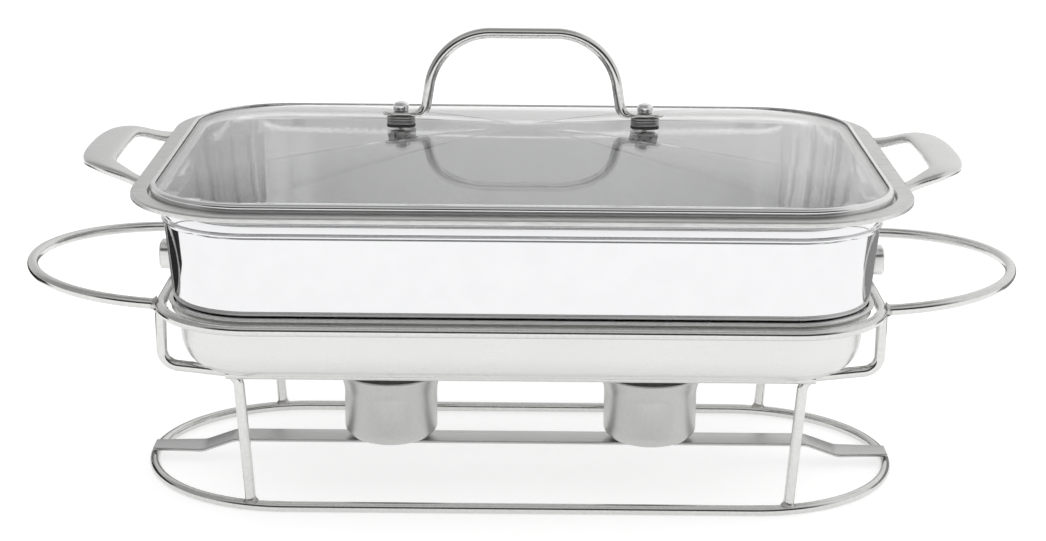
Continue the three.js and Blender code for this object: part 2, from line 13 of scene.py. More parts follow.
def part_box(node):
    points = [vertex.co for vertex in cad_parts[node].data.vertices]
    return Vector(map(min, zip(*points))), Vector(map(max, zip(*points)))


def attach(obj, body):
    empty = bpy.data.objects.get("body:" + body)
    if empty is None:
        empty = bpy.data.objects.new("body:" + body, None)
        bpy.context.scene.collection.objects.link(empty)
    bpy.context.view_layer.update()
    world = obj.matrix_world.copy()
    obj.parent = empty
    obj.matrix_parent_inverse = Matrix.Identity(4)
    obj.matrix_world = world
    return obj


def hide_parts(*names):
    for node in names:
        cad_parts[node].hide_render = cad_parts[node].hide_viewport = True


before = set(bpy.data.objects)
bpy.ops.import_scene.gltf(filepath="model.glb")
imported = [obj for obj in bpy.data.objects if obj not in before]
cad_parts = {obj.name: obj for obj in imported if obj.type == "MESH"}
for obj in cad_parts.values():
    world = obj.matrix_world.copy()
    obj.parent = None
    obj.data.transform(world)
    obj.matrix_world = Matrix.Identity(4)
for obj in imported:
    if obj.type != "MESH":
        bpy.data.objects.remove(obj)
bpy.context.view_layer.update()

MM = 0.001

# ---------------------------------------------------------------- driving dimensions, in mm

WIRE_RADIUS = 3.25
WIRE_SIDES = 28
WELD_RISE = 1.5  # height of a weld collar above the wire
WELD_LENGTH = 3.2
WELD_SUNK = 0.8  # how far a collar starts inside the wire it stands on
UPPER_RING_CORNER = 56.95
LEG_FOOT_X = 161
LEG_BEND = 10
LEG_TOP_INSET = 12  # from the end of the water pan's flat bottom to the upper bend
LEG_FOOT_SUNK = 1.2  # how far a leg runs on into the base ring
LEG_HEAD_SUNK = 1  # how far a leg runs on into the upper ring
SHELF_RISE = 5
RAIL_OVERHANG = 6  # from the upper bend of a leg to the end of its rail
LOOP_HALF_Y = 88.5
LOOP_ROOT = 2.2  # from the centre line of the upper ring to the ends of a side loop
GUIDE_CORNER = 5.5
GUIDE_EDGE = 1.4
STRIP_END_FLAT = 32
STRIP_SLOPE = 20
STRIP_THICK = 2
STRIP_EDGE = 0.7
STRIP_BEND = 14
CUP_RADIUS = 29.2
CUP_WALL = 1.2
CUP_BODY = 32  # from the foot to the start of the flared neck
PAN_WALL = 1.5
FLANGE_CORNER = 72
FLANGE_FLAT = 9.5
LEDGE_DROP = 2.5  # from the flange down to the ledge inside it
LEDGE_SLOPE = 1  # width of the step between them
LEDGE_WIDTH = 6
COVE_RUN = 15
COVE_RISE = 13.2
COVE_START = 3.5  # from the flange edge in to the cove, and from the flange top down to it
BEAD_REACH = 1.5  # how far the bead below the cove stands out from the wall
FOOD_DRAFT = 4.5
FOOD_BOTTOM_RADIUS = 10
WATER_CORNER = 52.2
WATER_STEP = 5.3  # from the step that holds the food pan up to the rim
WATER_LIP = 1.4
WATER_LEDGE = 4.5
WATER_DRAFT = 1.5
WATER_BOTTOM_RADIUS = 20
HANDLE_THICK = 6
HANDLE_PLATE = 22.5
LID_INSET = 11.5  # from the flange edge to the outside of the lid rim
RIM_LIP = 3
RIM_SHEET = 1
GLASS_THICK = 3.9
GLASS_EDGE_INSET = 1.3  # from the outside of the lid rim to the edge of the glass
DOME_RISE = 17.4
DOME_INSET = 3.3  # from the outside of the lid rim to the foot of the dome
GRIP_HALF_X = 60  # centre line of an upright of the lid handle at its foot
GRIP_LEAN = 8
GRIP_BEND = 38
GRIP_FOOT_BEND = 5.5
GRIP_RADIUS = 3.2
GRIP_FOOT_HALF_WIDTH = 6.2
GRIP_FOOT_HALF_THICK = 1.2
BLOCK_CORNER = 4.5
GROOVE_HALF_TALL = 0.35
GROOVE_DEEP = 0.5
SCREW_HEAD = 5.6
SCREW_SHANK = 2
WASHER_RADIUS = 6.5
NUT_RADIUS = 4.6


# ---------------------------------------------------------------- shapes

def corners(node):
    """Lowest and highest corner of a CAD node, in mm."""
    low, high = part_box(node)
    return Vector(low) / MM, Vector(high) / MM


def rounded_rectangle(half_x, half_y, corner, steps=14):
    radius = max(min(corner, half_x, half_y), 0.05)
    points = []
    for quarter, (side_x, side_y) in enumerate(((1, 1), (-1, 1), (-1, -1), (1, -1))):
        for step in range(steps + 1):
            angle = (quarter + step / steps) * math.pi / 2
            x = side_x * (half_x - radius) + radius * math.cos(angle)
            y = side_y * (half_y - radius) + radius * math.sin(angle)
            points.append((x, y))
    return points


def fillet_path(points, radii, steps=8):
    """A path through points, with an arc of the given radius at each inner corner."""
    points = [Vector(point) for point in points]
    path = [points[0]]
    for i, radius in enumerate(radii, start=1):
        if radius <= 0:
            path.append(points[i])
            continue
        back = (points[i - 1] - points[i]).normalized()
        ahead = (points[i + 1] - points[i]).normalized()
        half = back.angle(ahead) / 2
        centre = points[i] + (back + ahead).normalized() * radius / math.sin(half)
        start = points[i] + back * radius / math.tan(half) - centre
        end = points[i] + ahead * radius / math.tan(half) - centre
        turn = start.angle(end)
        for step in range(steps + 1):
            share = step / steps
            mixed = start * math.sin((1 - share) * turn) + end * math.sin(share * turn)
            path.append(centre + mixed / math.sin(turn))
    path.append(points[-1])
    return path


def profile(points, steps=6):
    """(inset, z) pairs of a section from (inset, z, corner radius) corners."""
    path = fillet_path([(a, 0, z) for a, z, _ in points], [r for _, _, r in points[1:-1]], steps)
    return [(point.x, point.z) for point in path]


def around(half_x, half_y, corner, section, steps=14):
    """Rings that carry a section of (inset, z) pairs around a rounded rectangle."""
    rings = []
    for inset, z in section:
        outline = rounded_rectangle(half_x - inset, half_y - inset, corner - inset, steps)
        rings.append([(x, y, z) for x, y in outline])
    return rings


def circle(radius, count):
    return [(radius * math.cos(2 * math.pi * i / count), radius * math.sin(2 * math.pi * i / count))
            for i in range(count)]


def oval(half_u, half_v, power, count):
    """A circle when power is 2, and squarer as power grows."""
    points = []
    for i in range(count):
        angle = 2 * math.pi * i / count
        cos, sin = math.cos(angle), math.sin(angle)
        u = math.copysign(abs(cos) ** (2 / power), cos) * half_u
        v = math.copysign(abs(sin) ** (2 / power), sin) * half_v
        points.append((u, v))
    return points


def sweep(path, section):
    """Rings of a section carried along a path without twisting."""
    points = [Vector(point) for point in path]
    last = len(points) - 1
    tangents = [(points[min(i + 1, last)] - points[max(i - 1, 0)]).normalized()
                for i in range(last + 1)]
    side = tangents[0].orthogonal().normalized()
    rings = []
    for i, point in enumerate(points):
        side = tangents[max(i - 1, 0)].rotation_difference(tangents[i]) @ side
        side = (side - tangents[i] * side.dot(tangents[i])).normalized()
        up = tangents[i].cross(side)
        rings.append([point + side * u + up * v for u, v in section])
    return rings


def turned(section, centre_x=0, centre_y=0, count=72):
    """Rings about a vertical axis from (radius, z) pairs."""
    rings = []
    for radius, z in section:
        rings.append([(centre_x + x, centre_y + y, z) for x, y in circle(max(radius, 0.02), count)])
    return rings


def smooth_line(points, count):
    """Evenly spaced points on a smooth curve through points."""
    points = [Vector(point) for point in points]
    ends = [2 * points[0] - points[1]] + points + [2 * points[-1] - points[-2]]
    fine = []
    for i in range(1, len(ends) - 2):
        a, b, c, d = ends[i - 1:i + 3]
        for step in range(24):
            t = step / 24
            fine.append(0.5 * (2 * b + (c - a) * t + (2 * a - 5 * b + 4 * c - d) * t ** 2
                               + (3 * b - a - 3 * c + d) * t ** 3))
    fine.append(points[-1])
    return evenly(fine, count)


def evenly(path, count):
    """Points at equal distances along a path."""
    lengths = [0.0]
    for before, after in zip(path, path[1:]):
        lengths.append(lengths[-1] + (after - before).length)
    spaced, at = [], 0
    for step in range(count + 1):
        want = lengths[-1] * step / count
        while at < len(path) - 2 and lengths[at + 1] < want:
            at += 1
        share = (want - lengths[at]) / (lengths[at + 1] - lengths[at])
        spaced.append(path[at].lerp(path[at + 1], share))
    return spaced


def smoothstep(value, low, high):
    share = min(max((value - low) / (high - low), 0), 1)
    return share * share * (3 - 2 * share)


def add_piece(name, rings, finish, body, nodes=(), closed=False, sharp=32):
    """A mesh object lofted through rings, riding on a body and standing for CAD nodes."""
    count = len(rings[0])
    spans = len(rings) if closed else len(rings) - 1
    faces = []
    for ring in range(spans):
        low, high = ring * count, (ring + 1) % len(rings) * count
        for i in range(count):
            j = (i + 1) % count
            faces.append((low + i, low + j, high + j, high + i))
    if not closed:
        start = (len(rings) - 1) * count
        faces.append(tuple(reversed(range(count))))
        faces.append(tuple(range(start, start + count)))
    mesh = bpy.data.meshes.new(name)
    mesh.from_pydata([Vector(point) * MM for ring in rings for point in ring], [], faces)
    form = bmesh.new()
    form.from_mesh(mesh)
    bmesh.ops.remove_doubles(form, verts=form.verts, dist=1e-7)
    bmesh.ops.dissolve_degenerate(form, edges=form.edges, dist=1e-7)
    bmesh.ops.recalc_face_normals(form, faces=form.faces)
    form.to_mesh(mesh)
    form.free()
    mesh.polygons.foreach_set("use_smooth", [True] * len(mesh.polygons))
    mesh.set_sharp_from_angle(angle=math.radians(sharp))
    material, slot = finishes[finish]
    mesh.materials.append(material)
    piece = bpy.data.objects.new(name, mesh)
    bpy.context.collection.objects.link(piece)
    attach(piece, body)
    if nodes:
        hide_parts(*nodes)
    return piece


# ---------------------------------------------------------------- materials

def new_material(name):
    material = bpy.data.materials.new(name)
    material.use_nodes = True
    nodes = material.node_tree.nodes
    return nodes, material.node_tree.links, nodes["Principled BSDF"], material


def noise(nodes, links, scale, stretch=(1, 1, 1), detail=3.0):
    """A noise texture on object coordinates, stretched along an axis where its factor is small."""
    place = nodes.new("ShaderNodeTexCoord")
    mapping = nodes.new("ShaderNodeMapping")
    mapping.inputs["Scale"].default_value = stretch
    texture = nodes.new("ShaderNodeTexNoise")
    texture.inputs["Scale"].default_value = scale
    texture.inputs["Detail"].default_value = detail
    links.new(place.outputs["Object"], mapping.inputs["Vector"])
    links.new(mapping.outputs["Vector"], texture.inputs["Vector"])
    return texture.outputs["Fac"]


def spread(nodes, links, value, low, high):
    """Maps the middle of a noise onto low to high."""
    node = nodes.new("ShaderNodeMapRange")
    node.inputs["From Min"].default_value = 0.3
    node.inputs["From Max"].default_value = 0.7
    node.inputs["To Min"].default_value = low
    node.inputs["To Max"].default_value = high
    links.new(value, node.inputs["Value"])
    return node.outputs["Result"]


def mixed_colour(nodes, links, factor, first, second):
    node = nodes.new("ShaderNodeMix")
    node.data_type = "RGBA"
    node.inputs["A"].default_value = (*first, 1)
    node.inputs["B"].default_value = (*second, 1)
    links.new(factor, node.inputs["Factor"])
    return node.outputs["Result"]


def above_height(nodes, links, height):
    """1 above a height in mm and 0 below it, with a narrow step between."""
    place = nodes.new("ShaderNodeTexCoord")
    split = nodes.new("ShaderNodeSeparateXYZ")
    step = nodes.new("ShaderNodeMapRange")
    step.inputs["From Min"].default_value = (height - 0.2) * MM
    step.inputs["From Max"].default_value = (height + 0.2) * MM
    links.new(place.outputs["Object"], split.inputs["Vector"])
    links.new(split.outputs["Z"], step.inputs["Value"])
    return step.outputs["Result"]


def mixed_socket(nodes, links, factor, first, second, kind):
    """Mixes two sockets, colours when kind is RGBA and numbers when it is FLOAT."""
    node = nodes.new("ShaderNodeMix")
    node.data_type = kind
    first_input, second_input, output = {"FLOAT": (2, 3, 0), "RGBA": (6, 7, 2)}[kind]
    links.new(factor, node.inputs[0])
    links.new(first, node.inputs[first_input])
    links.new(second, node.inputs[second_input])
    return node.outputs[output]


def add_relief(nodes, links, shader, height, strength):
    """Fine bump from a noise."""
    relief = nodes.new("ShaderNodeBump")
    relief.inputs["Strength"].default_value = strength
    relief.inputs["Distance"].default_value = 0.0001
    links.new(height, relief.inputs["Height"])
    links.new(relief.outputs["Normal"], shader.inputs["Normal"])


def steel(name, light, dark, rough, grain, grain_scale, bump, satin_above=None):
    """Stainless steel with a grain in its colour, roughness and bump, and soft smudges.

    rough holds the lowest and highest roughness of the grain and what smudges add.
    Above the height satin_above, in mm, the polish gives way to a darker satin.
    """
    nodes, links, shader, material = new_material(name)
    lines = noise(nodes, links, grain_scale, grain, 4)
    smudge = noise(nodes, links, 26, (1, 1, 1), 2)
    roughness = nodes.new("ShaderNodeMath")
    roughness.operation = "ADD"
    links.new(spread(nodes, links, lines, rough[0], rough[1]), roughness.inputs[0])
    links.new(spread(nodes, links, smudge, 0, rough[2]), roughness.inputs[1])
    tone = spread(nodes, links, lines, 0, 1)
    colour = mixed_colour(nodes, links, tone, light, dark)
    finish = roughness.outputs["Value"]
    if satin_above is not None:
        top = above_height(nodes, links, satin_above)
        fine = noise(nodes, links, 700, (0.2, 1, 1), 3)
        satin_tone = spread(nodes, links, fine, 0, 1)
        satin = mixed_colour(nodes, links, satin_tone, (0.70, 0.70, 0.69), (0.63, 0.63, 0.62))
        satin_finish = spread(nodes, links, fine, 0.3, 0.42)
        colour = mixed_socket(nodes, links, top, colour, satin, "RGBA")
        finish = mixed_socket(nodes, links, top, finish, satin_finish, "FLOAT")
    links.new(finish, shader.inputs["Roughness"])
    links.new(colour, shader.inputs["Base Color"])
    add_relief(nodes, links, shader, lines, bump)
    shader.inputs["Metallic"].default_value = 1
    return material


def clear_glass():
    nodes, links, shader, material = new_material("tempered_glass")
    smudge = noise(nodes, links, 34, (1, 1, 1), 3)
    links.new(spread(nodes, links, smudge, 0.0, 0.03), shader.inputs["Roughness"])
    tone = spread(nodes, links, smudge, 0, 1)
    colour = mixed_colour(nodes, links, tone, (0.955, 0.957, 0.95), (0.94, 0.942, 0.935))
    links.new(colour, shader.inputs["Base Color"])
    shader.inputs["Transmission Weight"].default_value = 1
    shader.inputs["IOR"].default_value = 1.5
    return material


def silicone():
    nodes, links, shader, material = new_material("dark_silicone")
    grain = noise(nodes, links, 900, (1, 1, 1), 4)
    links.new(spread(nodes, links, grain, 0.55, 0.75), shader.inputs["Roughness"])
    tone = spread(nodes, links, grain, 0, 1)
    links.new(mixed_colour(nodes, links, tone, (0.03, 0.03, 0.03), (0.06, 0.06, 0.058)),
              shader.inputs["Base Color"])
    add_relief(nodes, links, shader, grain, 0.3)
    return material


LEVEL_GRAIN = (0.05, 0.05, 6)  # lines run level around a pan
LONG_GRAIN = (0.03, 4, 4)  # lines run along X
EVEN_GRAIN = (1, 1, 1)
SATIN_BAND = 3.6  # depth below the flange top where the food pan turns satin

# each finish is a material and the slot it belongs to
finishes = {
    "wire": (steel("polished_wire", (0.70, 0.70, 0.685), (0.64, 0.64, 0.625),
                   (0.08, 0.13, 0.05), EVEN_GRAIN, 420, 0.05), "polished_wire"),
    "weld": (steel("weld_bead", (0.62, 0.61, 0.59), (0.48, 0.47, 0.45),
                   (0.24, 0.4, 0.05), EVEN_GRAIN, 900, 0.5), "polished_wire"),
    "satin": (steel("satin_steel", (0.72, 0.72, 0.71), (0.70, 0.70, 0.69),
                    (0.24, 0.26, 0.05), LEVEL_GRAIN, 620, 0.008), "satin_steel"),
    "fitting": (steel("fitting_steel", (0.42, 0.42, 0.42), (0.34, 0.34, 0.34),
                      (0.16, 0.26, 0.05), LEVEL_GRAIN, 500, 0.1), "satin_steel"),
    "mirror": (steel("mirror_steel", (0.80, 0.80, 0.80), (0.77, 0.77, 0.77),
                     (0.07, 0.11, 0.03), LEVEL_GRAIN, 300, 0.01), "mirror_steel"),
    "pan": (steel("pan_steel", (0.79, 0.79, 0.80), (0.77, 0.77, 0.78),
                  (0.035, 0.045, 0.03), EVEN_GRAIN, 60, 0.004,
                  corners("food_pan")[1].z - SATIN_BAND), "mirror_steel"),
    "cup": (steel("cup_steel", (0.60, 0.60, 0.585), (0.57, 0.57, 0.555),
                  (0.3, 0.34, 0.05), EVEN_GRAIN, 500, 0.02), "satin_steel"),
    "strip": (steel("strip_steel", (0.60, 0.60, 0.595), (0.54, 0.54, 0.535),
                    (0.24, 0.34, 0.05), LONG_GRAIN, 380, 0.15), "strip_steel"),
    "cast": (steel("cast_steel", (0.74, 0.74, 0.73), (0.67, 0.67, 0.66),
                   (0.2, 0.3, 0.06), EVEN_GRAIN, 1400, 0.3), "cast_steel"),
    "glass": (clear_glass(), "lid_glass"),
    "rubber": (silicone(), "dark_gasket"),
}


# ---------------------------------------------------------------- stand

def add_ring(name, nodes, corner=None):
    """A closed wire ring that stands for nodes. Its ends are half rounds if corner is None."""
    boxes = [corners(node) for node in nodes]
    half_x = max(high.x for _, high in boxes) - WIRE_RADIUS
    half_y = max(high.y for _, high in boxes) - WIRE_RADIUS
    middle = boxes[0][0].z + WIRE_RADIUS
    section = [(-out, middle + up) for out, up in circle(WIRE_RADIUS, WIRE_SIDES)]
    rings = around(half_x, half_y, corner or half_y, section, 28)
    add_piece(name, rings, "wire", "stand", nodes, closed=True)


def add_rod(name, path, nodes):
    """A round rod along a path, cut square at its ends."""
    add_piece(name, sweep(path, circle(WIRE_RADIUS, WIRE_SIDES)), "wire", "stand", nodes)


def add_weld(name, point, direction):
    """A small concave collar of weld metal where one wire meets another."""
    at, way = Vector(point), Vector(direction).normalized()
    rings = []
    side = way.orthogonal().normalized()
    up = way.cross(side)
    for step in range(9):
        share = step / 8
        out = WIRE_RADIUS * 0.98 + WELD_RISE * (1 - share) ** 2.2
        centre = at + way * (WELD_LENGTH * share - WELD_SUNK)
        ring = []
        for i in range(32):
            angle = 2 * math.pi * i / 32
            ripple = 1 + 0.035 * math.sin(7 * angle + 2.1) * (1 - share)
            ring.append(centre + (side * math.cos(angle) + up * math.sin(angle)) * out * ripple)
        rings.append(ring)
    add_piece(name, rings, "weld", "stand")


def add_legs():
    ring_low, ring_high = corners("upper_ring")
    ring_z = (ring_low.z + ring_high.z) / 2
    for depth in ("front", "rear"):
        rail_low, rail_high = corners(f"rail_{depth}")
        shelf_z = (rail_low.z + rail_high.z) / 2
        for side, side_x in (("left", -1), ("right", 1)):
            node = f"leg_{depth}_{side}"
            low, high = corners(node)
            y = (low.y + high.y) / 2
            outer = max(abs(low.x), abs(high.x)) - WIRE_RADIUS
            top_x = rail_high.x - RAIL_OVERHANG
            drop = SHELF_RISE / (outer - top_x) * LEG_TOP_INSET
            foot = (side_x * LEG_FOOT_X, y, low.z - LEG_FOOT_SUNK)
            turn = (side_x * top_x, y, shelf_z - drop)
            knee = (side_x * outer, y, shelf_z - drop + SHELF_RISE)
            head = (side_x * outer, y, ring_z - WIRE_RADIUS + LEG_HEAD_SUNK)
            path = fillet_path([foot, turn, knee, head], [LEG_BEND, LEG_BEND], 16)
            add_rod(node + "_wire", path, [node])
            add_weld(node + "_weld_low", (foot[0], y, low.z), Vector(turn) - Vector(foot))
            add_weld(node + "_weld_high", (head[0], y, ring_z - WIRE_RADIUS), (0, 0, -1))
        half, y = rail_high.x, (rail_low.y + rail_high.y) / 2
        path = [(-half, y, shelf_z), (0, y, shelf_z), (half, y, shelf_z)]
        add_rod(f"rail_{depth}_wire", path, [f"rail_{depth}"])


def add_loops():
    ring_low, ring_high = corners("upper_ring")
    ring_x = ring_high.x - WIRE_RADIUS
    ring_z = (ring_low.z + ring_high.z) / 2
    for side, sign in (("left", -1), ("right", 1)):
        node = f"side_loop_{side}"
        low, high = corners(node)
        reach = max(abs(low.x), abs(high.x)) - WIRE_RADIUS - ring_x
        rise = high.z - WIRE_RADIUS - ring_z
        points = []
        for i in range(73):
            angle = (i / 72 - 0.5) * math.pi
            out = math.cos(angle)
            x = ring_x + LOOP_ROOT + (reach - LOOP_ROOT) * out
            points.append((sign * x, LOOP_HALF_Y * math.sin(angle), ring_z + rise * out))
        add_rod(node + "_wire", points, [node])
        for end, side_y in (("front", -1), ("rear", 1)):
            root = (sign * (ring_x + WIRE_RADIUS), side_y * LOOP_HALF_Y, ring_z)
            add_weld(f"{node}_weld_{end}", root, (sign, 0, 0))


def add_guides():
    for side in ("left", "right"):
        node = f"pan_guide_{side}"
        low, high = corners(node)
        middle = (low + high) / 2
        half = (high - low) / 2
        rings = []
        for step in range(13):
            angle = (step / 12 - 0.5) * math.pi
            face_x = (half.x - GUIDE_EDGE) * math.copysign(1, math.sin(angle) or 1)
            x = middle.x + face_x + GUIDE_EDGE * math.sin(angle)
            inset = GUIDE_EDGE * (1 - math.cos(angle))
            outline = rounded_rectangle(half.y - inset, half.z - inset, GUIDE_CORNER - inset, 10)
            rings.append([(x, middle.y + y, middle.z + z) for y, z in outline])
        add_piece(node + "_tab", rings, "satin", "stand", [node])


def add_strip():
    """The flat strip is bent softly where it climbs, and its edges are rounded over."""
    low, high = corners("burner_strip")
    half_width, end = high.y, high.x
    middle_low = low.z + STRIP_THICK / 2
    middle_high = high.z - STRIP_THICK / 2
    flat = end - STRIP_END_FLAT
    level = flat - STRIP_SLOPE
    path = fillet_path(
        [(-end, 0, middle_low), (-flat, 0, middle_low), (-level, 0, middle_high),
         (level, 0, middle_high), (flat, 0, middle_low), (end, 0, middle_low)],
        [STRIP_BEND] * 4, 8)
    section = []
    for angle in range(0, 360, 30):
        cos, sin = math.cos(math.radians(angle)), math.sin(math.radians(angle))
        across = math.copysign(half_width - STRIP_EDGE, cos or 1) + STRIP_EDGE * cos
        section.append((across, math.copysign(STRIP_THICK / 2 - STRIP_EDGE, sin or 1)
                        + STRIP_EDGE * sin))
    last = len(path) - 1
    rings = []
    for i, point in enumerate(path):
        along = (path[min(i + 1, last)] - path[max(i - 1, 0)]).normalized()
        up = along.cross(Vector((0, -1, 0))) * -1
        taper = min(1, math.sqrt(max(0, (end - abs(point.x)) / 3)) * 0.2 + 0.8)
        rings.append([point + Vector((0, -u * taper, 0)) + up * v for u, v in section])
    add_piece("burner_strip_plate", rings, "strip", "stand", ["burner_strip"])


# ---------------------------------------------------------------- burners

def add_cups():
    for side in ("left", "right"):
        node = f"burner_cup_{side}"
        low, high = corners(node)
        centre = (low + high) / 2
        rim = (high.x - low.x) / 2
        neck = low.z + CUP_BODY
        wall = CUP_RADIUS - CUP_WALL
        outside = profile([
            (0, low.z, 0), (CUP_RADIUS - 9, low.z, 1), (CUP_RADIUS - 7.5, low.z + 0.6, 2),
            (CUP_RADIUS, low.z + 5, 6), (CUP_RADIUS, neck + 2, 18), (rim - 0.8, high.z - 1.2, 0)], 8)
        lip = [(rim - 0.8 + 0.8 * math.sin(a), high.z - 0.8 + 0.8 * math.cos(a))
               for a in [math.radians(d) for d in range(110, -75, -20)]]
        inside = profile([
            (rim - 2, high.z - 1.4, 0), (wall, neck + 2, 18),
            (wall, low.z + CUP_WALL, 6), (0, low.z + CUP_WALL, 0)], 8)
        add_piece(node + "_shell", turned(outside + lip + inside, centre.x, centre.y, 96),
                  "cup", f"cup_{side}", [node])


# ---------------------------------------------------------------- pans

def add_water_pan():
    low, high = corners("water_pan")
    step = high.z - WATER_STEP
    wall = WATER_LIP + WATER_LEDGE
    foot = wall + WATER_DRAFT
    section = profile([
        (40, low.z, 0), (foot, low.z, WATER_BOTTOM_RADIUS), (wall, step - 4.5, 3),
        (WATER_LIP, step - 0.6, 2), (WATER_LIP, high.z - PAN_WALL, 0.5),
        (0, high.z - PAN_WALL, 0.5), (0, high.z, 0.6), (WATER_LIP + PAN_WALL, high.z, 0.6),
        (WATER_LIP + PAN_WALL, step, 0.8), (wall + PAN_WALL, step, 2.2),
        (foot + PAN_WALL, low.z + PAN_WALL, WATER_BOTTOM_RADIUS - PAN_WALL),
        (40, low.z + PAN_WALL, 0)], 10)
    add_piece("water_pan_shell", around(high.x, high.y, WATER_CORNER, section, 20),
              "satin", "water_pan", ["water_pan"])


def add_food_pan():
    low, high = corners("food_pan")
    cove_z = high.z - COVE_START - COVE_RISE
    wall = COVE_START + COVE_RUN
    cove = []
    for degrees in range(12, 91, 6):
        angle = math.radians(degrees)
        cove.append((COVE_START + COVE_RUN * math.cos(angle), cove_z + COVE_RISE * math.sin(angle)))
    bead = wall - BEAD_REACH
    below = profile([
        (60, low.z, 0), (wall + FOOD_DRAFT, low.z, FOOD_BOTTOM_RADIUS), (wall, cove_z - 1, 1),
        (bead, cove_z + 0.6, 0.8), (bead, cove_z + 1.6, 0.8), (wall - 0.4, cove_z + 2.5, 0)], 8)
    ledge_z = high.z - LEDGE_DROP
    ledge = FLANGE_FLAT + LEDGE_SLOPE
    above = profile([
        (1.4, high.z - COVE_START, 0), (0, high.z - COVE_START, 0.7), (0, high.z, 1.1),
        (FLANGE_FLAT, high.z, 0.7), (ledge, ledge_z, 0.7), (ledge + LEDGE_WIDTH, ledge_z, 1.2),
        (wall + PAN_WALL, ledge_z - 2, 0.8), (wall + PAN_WALL, cove_z, 6),
        (wall + FOOD_DRAFT + PAN_WALL, low.z + PAN_WALL, FOOD_BOTTOM_RADIUS - PAN_WALL),
        (60, low.z + PAN_WALL, 0)], 8)
    add_piece("food_pan_shell", around(high.x, high.y, FLANGE_CORNER, below + cove + above, 24),
              "pan", "food_pan", ["food_pan"])


def handle_edges(start, end):
    """Outer and inner edge of the right handle seen from above, each from front to rear."""
    grip = end - HANDLE_PLATE
    middle = (start + grip) / 2
    outside = [(start, -68, 0), (middle, -62, 0), (grip + 4, -58, 0), (end - 7, -47, 0),
               (end - 2.5, -34, 0), (end - 0.5, -18, 0), (end, 0, 0)]
    inside = [(start, -56, 0), (middle, -49, 0), (grip - 1.5, -42, 0),
              (grip, -32, 0), (grip + 0.3, -18, 0), (grip + 0.5, 0, 0)]
    edges = []
    for points in (outside, inside):
        half = smooth_line(points, 40)
        edges.append(half + [Vector((p.x, -p.y, 0)) for p in reversed(half[:-1])])
    return edges


def add_pan_handles():
    flange = corners("food_pan")[1]
    for side, sign in (("left", -1), ("right", 1)):
        node = f"pan_handle_{side}"
        low, high = corners(node)
        start, end = flange.x, max(abs(low.x), abs(high.x))
        lift = high.z - flange.z
        outside, inside = handle_edges(start - 0.8, end)
        rings = []
        for out, inner in zip(outside, inside):
            middle, width = (out + inner) / 2, (out - inner).length
            across = (out - inner).normalized()
            rise = lift * smoothstep(middle.x, start - 6, start + 28)
            ring = []
            for u, v in oval(width / 2, HANDLE_THICK / 2, 3, 28):
                point = middle + across * u
                ring.append((sign * point.x, point.y, flange.z - HANDLE_THICK / 2 - 0.2 + rise + v))
            rings.append(ring)
        add_piece(node + "_casting", rings, "cast", "food_pan", [node])


# ---------------------------------------------------------------- lid

def add_lid_rim():
    low, high = corners("lid_rim")
    corner = FLANGE_CORNER - LID_INSET
    under, over = low.z + RIM_SHEET, high.z - RIM_SHEET
    section = profile([
        (RIM_LIP, low.z, 0), (0, low.z, 0.8), (0, high.z, 2.2), (RIM_LIP, high.z, 0.4),
        (RIM_LIP, over, 0.4), (RIM_SHEET, over, 0.3), (RIM_SHEET, under, 0.3),
        (RIM_LIP, under, 0.3), (RIM_LIP, low.z, 0)], 8)[:-1]
    add_piece("lid_rim_channel", around(high.x, high.y, corner, section, 24),
              "mirror", "lid", ["lid_rim"], closed=True)


def dome_ring(share, z_edge, half_x, half_y, corner):
    """One ring of the dome: oval near the middle, and the outline of the rim at its foot."""
    ring = []
    squared = smoothstep(share, 0.25, 1)
    for foot_x, foot_y in rounded_rectangle(half_x, half_y, corner, 24):
        angle = math.atan2(foot_y / half_y, foot_x / half_x)
        oval_x, oval_y = half_x * math.cos(angle), half_y * math.sin(angle)
        x = share * (oval_x + (foot_x - oval_x) * squared)
        y = share * (oval_y + (foot_y - oval_y) * squared)
        ring.append((x, y, z_edge + DOME_RISE * (1 - share * share)))
    return ring


def add_lid_glass():
    low, high = corners("lid_glass")
    rim_high = corners("lid_rim")[1]
    edge_z = low.z + GLASS_THICK
    half_x, half_y = rim_high.x - DOME_INSET, rim_high.y - DOME_INSET
    corner = FLANGE_CORNER - LID_INSET - DOME_INSET
    shares = [0.02 + 0.98 * (i / 36) for i in range(37)]
    top = [dome_ring(share, edge_z, half_x, half_y, corner) for share in shares]
    under = [[(x, y, z - GLASS_THICK) for x, y, z in ring] for ring in top]
    edge = rounded_rectangle(high.x, high.y, FLANGE_CORNER - LID_INSET - GLASS_EDGE_INSET, 24)
    edges = [[(x, y, z) for x, y in edge] for z in (low.z, edge_z)]
    rings = under + edges + top[::-1]
    add_piece("lid_glass_dome", rings, "glass", "lid", ["lid_glass"], sharp=50)


